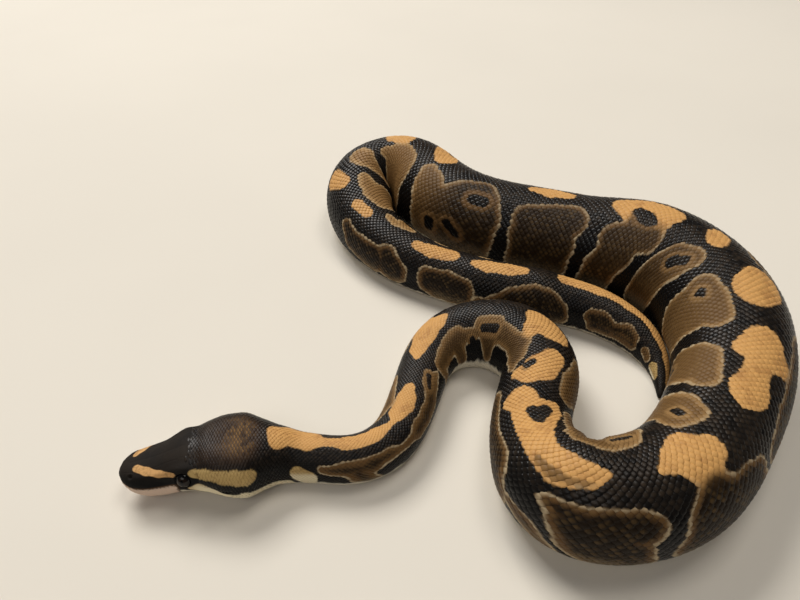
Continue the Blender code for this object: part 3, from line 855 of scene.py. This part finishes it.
# Scales: lengths of body that each make one piece, named as the solids are.
coat = {
    "lengths": (
        ("head", 50), ("neck", 88), ("fore_rise", 134), ("fore_arch", 175), ("fore_bend", 210),
        ("fore_drop", 236), ("low_crook", 284), ("low_side", 336), ("outer_side", 390),
        ("upper_corner", 444), ("upper_side", 498), ("long_run", 556), ("hairpin", 640),
        ("hind_run", 698), ("hind_end", 756), ("tail", 821),
    ),
    # distance between scales along the body at a distance from the snout, mm
    "pitch": ((24, 0.92), (34, 1.04), (45, 1.2), (60, 1.36), (80, 1.48), (110, 1.58), (145, 1.66),
              (205, 1.72), (225, 1.82), (270, 1.82), (298, 2.14), (350, 2.36), (400, 2.5), (450, 2.58),
              (500, 2.6), (550, 2.5), (620, 2.4), (660, 2.32), (700, 2.2), (750, 1.95), (790, 1.45),
              (821, 0.85)),
    # rows of scales round the body at a distance from the snout
    "rows": ((24, 44), (60, 54), (100, 62), (150, 65), (225, 60), (240, 58), (262, 62), (300, 60), (350, 59),
             (450, 64), (500, 64), (600, 60), (660, 56), (700, 50), (750, 42), (790, 34), (821, 22)),
    "lastRow": 140,  # degrees from the back where the broad belly scutes take over
    "front": 0.60,  # reach of a scale from its middle, as a share of the pitch
    "rear": 0.76,
    "side": 1.10,  # and as a share of the row's width
    "corners": 10,
    "roundness": 1.55,  # 1 is a rhomb and 2 an ellipse
    "height": 0.15,
    "grown": ((24, 0.35), (36, 1.0)),  # the first scales behind the head plates are flatter
    "rings": ((0.0, 1.0), (0.58, 0.74), (0.95, 0.14), (1.03, -0.60)),  # share of the outline, height
    "tilt": 0.11,
    "sizeSpread": 0.06,  # how much the scales differ from each other
    "liftSpread": 0.35,
    "patch": 0.0015,  # half the width of a scale's patch on the unwrap
    "floorGap": 0.00005,
    "eyeClear": 1.75,  # no scales nearer to an eye than this many radii
    "markFollow": 0.62,  # how far a marking's edge runs on inside a scale
    "seed": 7,
}


def scaleTemplate():
    # points of one scale: along, across, up and how near its edge, then its faces
    n, power = coat["corners"], coat["roundness"]
    turn = evenTurns(n)
    points = [(0.0, 0.0, 1.0, 0.0)]
    for share, up in coat["rings"][1:]:
        for t in turn:
            x, y = math.cos(t), math.sin(t)
            size = share / (abs(x) ** power + abs(y) ** power) ** (1 / power)
            points.append((x * size, y * size, up, share))
    points = np.array(points)
    i = np.arange(n)
    j = (i + 1) % n
    three = np.stack([i * 0, 1 + i, 1 + j], 1)
    starts = [1 + k * n for k in range(len(coat["rings"]) - 1)]
    four = [np.stack([near + i, far + i, far + j, near + j], 1) for near, far in zip(starts, starts[1:])]
    under = (starts[-1] + i)[::-1]
    return points, three, np.concatenate(four), under[None]


def scaleRoots():
    # staggered rows from the middle of the back down to the belly scutes
    chance = np.random.default_rng(coat["seed"] + 1)
    stations, s = [], coat["pitch"][0][0]
    while s < total - 1.2:
        stations.append(s)
        s += readRows(coat["pitch"], s) / 2
    roots = []
    for number, s in enumerate(stations):
        pitch = readRows(coat["pitch"], s)
        limits = {sign: wayRound(s, sign * math.radians(coat["lastRow"])) for sign in (1, -1)}
        spread = (limits[1] + limits[-1]) / readRows(coat["rows"], s)
        for sign in (1, -1):
            rows = np.arange(number % 2, int(limits[sign] / spread) + 1, 2)
            if sign < 0:
                rows = rows[rows > 0]
            y = rows * spread * sign
            angle = angleAt(np.full(len(y), s), y.astype(float))
            side = np.abs(np.degrees(angle))
            keep = s > coatStart(side) + 2.2 * (chance.random(len(y)) - 0.5)
            place = surface(np.full(len(y), s), angle)
            for centre, radius in eyes.values():
                keep &= np.linalg.norm(place - centre, axis=1) > radius * coat["eyeClear"]
            roots += [(s, a, w, pitch, spread) for a, w, k in zip(angle, y, keep) if k]
    return np.array(roots)


def buildScales(material):
    template, three, four, under = scaleTemplate()
    roots = scaleRoots()
    print("scales:", len(roots))
    chance = np.random.default_rng(coat["seed"])
    tones = chance.random(len(roots))
    sizes = 1 + coat["sizeSpread"] * (chance.random(len(roots)) - 0.5)
    lifts = 1 + coat["liftSpread"] * (chance.random(len(roots)) - 0.5)
    ahead, aside, rise, brim = template.T
    reach = ahead * np.where(ahead > 0, coat["rear"], coat["front"])
    start = 0.0
    made = []
    for name, end in coat["lengths"]:
        inside = (roots[:, 0] >= start) & (roots[:, 0] < end)
        s, angle, y, pitch, spread = roots[inside].T
        tone, size, lift = tones[inside], sizes[inside], lifts[inside]
        along = s[:, None] + (pitch * size)[:, None] * reach
        across = y[:, None] + (spread * size)[:, None] * (aside * coat["side"])
        along = np.clip(along, 0, total - 0.5)
        turn = angleAt(along, across)
        tall = pitch * lift * readRows(coat["grown"], s)
        up = tall[:, None] * (coat["height"] * rise + coat["tilt"] * ahead)
        place, out = surfaceFrame(along, turn)
        points = (place + out * (up * mm)[..., None]).reshape(-1, 3)
        points[:, 2] = np.maximum(points[:, 2], coat["floorGap"])
        count, corners = len(s), len(template)
        base = (np.arange(count) * corners)[:, None, None]
        faces = [(f[None] + base).reshape(-1, f.shape[1]) for f in (three, four, under)]
        follow = np.where(along < 70, 1.0, coat["markFollow"])
        markAt = s[:, None] + (along - s[:, None]) * follow
        markTurn = angle[:, None] + (turn - angle[:, None]) * follow
        marks = coatMarks(markAt.ravel(), markTurn.ravel())
        # tone of the whole scale, nearness to its edge, and nearness to its free end
        marks["grain"] = np.stack([np.repeat(tone, corners), np.tile(brim, count),
                                   np.tile(ahead, count) * 0.5 + 0.5], -1)
        root = np.stack([0.01 + 0.98 * (s - start) / (end - start), (angle + math.pi) / (2 * math.pi)], -1)
        uv = (root[:, None] + template[:, :2] * coat["patch"]).reshape(-1, 2)
        made.append(makeMesh("scales_" + name, points, faces, marks, uv, material))
        start = end
    return made


# Belly scutes: broad plates that the body rests on.
scutes = {
    "pitch": 1.5,  # length of a scute against that of a scale
    "sides": 14,
    "first": 44,
    "bow": 0.25,
    # share of the length, height in mm; the last two close the plate from below
    "rows": ((-0.15, -0.10), (0.1, 0.10), (0.6, 0.22), (1.05, 0.30), (1.22, 0.22), (1.25, 0.0), (0.6, -0.2)),
}


def buildScutes(material):
    points, quads, marks = [], [], []
    s, number, n = scutes["first"], 0, scutes["sides"]
    share, up = np.array(scutes["rows"]).T[..., None]
    edge = math.radians(coat["lastRow"] - 3)
    angle = edge + (2 * math.pi - 2 * edge) * np.arange(n + 1) / n
    while s < total - 6:
        pitch = readRows(coat["pitch"], s) * scutes["pitch"]
        bow = scutes["bow"] * pitch * np.cos((angle - math.pi) / (math.pi - edge) * math.pi / 2)
        place, out = surfaceFrame(s + share * pitch + bow * np.maximum(share, 0), angle)
        block = place + out * (up * mm)[..., None]
        base = number * block.shape[0] * (n + 1)
        for k in range(len(block)):
            near, far = base + k * (n + 1), base + (k + 1) % len(block) * (n + 1)
            i = np.arange(n)
            quads.append(np.stack([near + i, near + i + 1, far + i + 1, far + i], 1)[:, ::-1])
        points.append(block.reshape(-1, 3))
        marks.append((np.full(block.shape[:2], s), np.broadcast_to(angle, block.shape[:2])))
        s += pitch
        number += 1
    joined = np.concatenate(points)
    ss, aa = (np.concatenate([m[k].ravel() for m in marks]) for k in (0, 1))
    attributes = coatMarks(ss, signedTurn(aa))
    attributes["grain"] = np.full((len(joined), 3), 0.3)
    uv = np.stack([0.01 + 0.98 * ss / total, aa / (2 * math.pi)], -1)
    joined[:, 2] = np.maximum(joined[:, 2], coat["floorGap"] * 0.8)
    return makeMesh("belly_scutes", joined, [np.concatenate(quads)], attributes, uv, material)


# Eyes: a ball each, with the slit of the pupil and the iris round it on the outer side.
eyeLook = {
    "rings": 24,
    "segments": 36,
    "upward": 0.22,  # how far the gaze turns up and ahead
    "ahead": 0.15,
    "pupilWide": 0.16,
    "pupilTall": 0.52,
    "iris": (0.016, 0.009, 0.005),
    "irisShade": (0.010, 0.006, 0.004),
    "ball": (0.003, 0.003, 0.003),
    "pupil": (0.001, 0.001, 0.001),
    "roughness": 0.07,
    "shine": 0.22,
}


def eyePaint():
    look = eyeLook
    paint = Paint("eye")
    along, upward, outward = paint.read("gaze")
    slit = (along * (1 / look["pupilWide"])) ** 2 + (upward * (1 / look["pupilTall"])) ** 2
    iris = paint.mix(paint.ramp(paint.noise(2500, 4), 0.35, 0.75), look["irisShade"], look["iris"])
    iris = paint.mix(paint.ramp(outward, 0.62, 0.80), look["ball"], iris)
    colour = paint.mix(paint.ramp(slit, 0.85, 1.1), look["pupil"], iris)
    return paint.finish(Base_Color=colour, Roughness=look["roughness"], Specular_IOR_Level=look["shine"])


def buildEye(side, material):
    centre, radius = eyes[side]
    forward = -aheadAt(skinParts["eyeAt"])
    sign = 1 if side == "left" else -1
    outward = np.array([-sign * forward[1], sign * forward[0], eyeLook["upward"]])
    outward = unit(outward + forward * eyeLook["ahead"])
    forward = unit(forward - outward * forward.dot(outward))
    upward = np.cross(outward, forward)
    flip = upward[2] < 0
    if flip:
        upward = -upward
    rings, segments = eyeLook["rings"], eyeLook["segments"]
    down = math.pi * np.arange(1, rings)[:, None] / rings
    turn = evenTurns(segments)
    ball = [np.sin(down) * np.cos(turn), np.sin(down) * np.sin(turn), np.cos(down) + 0 * turn]
    local = np.concatenate([[(0, 0, 1)], np.stack(ball, -1).reshape(-1, 3), [(0, 0, -1)]])
    points = centre + radius * (local[:, :1] * forward + local[:, 1:2] * upward + local[:, 2:] * outward)
    i = np.arange(segments)
    j = (i + 1) % segments
    last = len(local) - 1
    lowest = 1 + (rings - 2) * segments
    threes = [np.stack([i * 0, 1 + i, 1 + j], 1), np.stack([i * 0 + last, lowest + j, lowest + i], 1)]
    quads = [np.stack([1 + k * segments + i, 1 + (k + 1) * segments + i,
                       1 + (k + 1) * segments + j, 1 + k * segments + j], 1) for k in range(rings - 2)]
    faces = [np.concatenate(threes), np.concatenate(quads)]
    if flip:
        faces = [f[:, ::-1] for f in faces]
    return makeMesh("eye_" + side, points, faces, {"gaze": local}, None, material)


# Stage: floor, light and camera.
stage = {
    "floor": (0.69, 0.64, 0.555),
    "floorSize": 3.0,
    # where each light is, what it points at, its size, power and colour
    "lights": {
        "window": ((-1.05, 1.75, 2.20), (0.0, 0.0, 0.0), (1.60, 1.20), 86.0, (1.0, 0.985, 0.96)),
        "ceiling": ((0.35, 0.25, 1.60), (0.05, 0.0, 0.0), (0.70, 0.70), 9.0, (1.0, 0.96, 0.90)),
        "front": ((-0.45, -0.95, 1.20), (-0.10, 0.0, 0.0), (1.10, 0.60), 5.0, (1.0, 0.97, 0.94)),
    },
    "room": (0.92, 0.93, 1.0),
    "roomLight": 0.08,
    "camera": (-0.031061, -0.222704, 0.200),
    "down": 40,
    "lens": 28.8,
}


def floorPaint():
    paint = Paint("floor")
    cloud = paint.ramp(paint.noise(4, 3), 0.3, 0.7)
    colour = paint.mix(cloud, stage["floor"], tuple(c * 0.97 for c in stage["floor"]))
    bump = paint.bump(220, 0.05, 0.0004)
    return paint.finish(Base_Color=colour, Roughness=0.75, Normal=bump, Specular_IOR_Level=0.2)


def areaLight(name, place, aim, size, power, colour):
    lamp = bpy.data.lights.new(name, "AREA")
    lamp.shape = "RECTANGLE"
    lamp.size, lamp.size_y = size
    lamp.energy = power
    lamp.color = colour
    made = addObject(name, lamp)
    made.location = place
    made.rotation_euler = (Vector(aim) - Vector(place)).to_track_quat("-Z", "Y").to_euler()


def buildStage():
    size = stage["floorSize"]
    corners = np.array([(-size, -size, 0), (size, -size, 0), (size, size, 0), (-size, size, 0)])
    floor = makeMesh("floor", corners, [np.array([[0, 1, 2, 3]])], {}, None, floorPaint())
    for name, settings in stage["lights"].items():
        areaLight(name, *settings)
    world = bpy.data.worlds.new("room")
    world.use_nodes = True
    background = world.node_tree.nodes["Background"]
    background.inputs["Color"].default_value = (*stage["room"], 1.0)
    background.inputs["Strength"].default_value = stage["roomLight"]
    bpy.context.scene.world = world
    data = bpy.data.cameras.new("camera")
    data.lens = stage["lens"]
    data.sensor_width = 36
    data.clip_start = 0.01
    camera = addObject("camera", data)
    camera.location = stage["camera"]
    camera.rotation_euler = (math.radians(90 - stage["down"]), 0, 0)
    bpy.context.scene.camera = camera
    bpy.context.scene.view_settings.view_transform = "Standard"


def main():
    flesh = [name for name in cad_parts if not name.endswith("_eye")]
    skin = buildSkin(coatPaint("skin", True))
    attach(skin, "root")
    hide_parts(*flesh)
    print("skin:", len(skin.data.polygons), "faces")
    coatMaterial = coatPaint("scales", False)
    for piece in buildScales(coatMaterial) + [buildScutes(coatMaterial)]:
        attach(piece, "root")
        piece.data.calc_loop_triangles()
        print(piece.name, len(piece.data.loop_triangles), "triangles")
    shine = eyePaint()
    for side in eyes:
        eye = buildEye(side, shine)
        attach(eye, "root")
        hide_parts(side + "_eye")
    buildStage()


main()
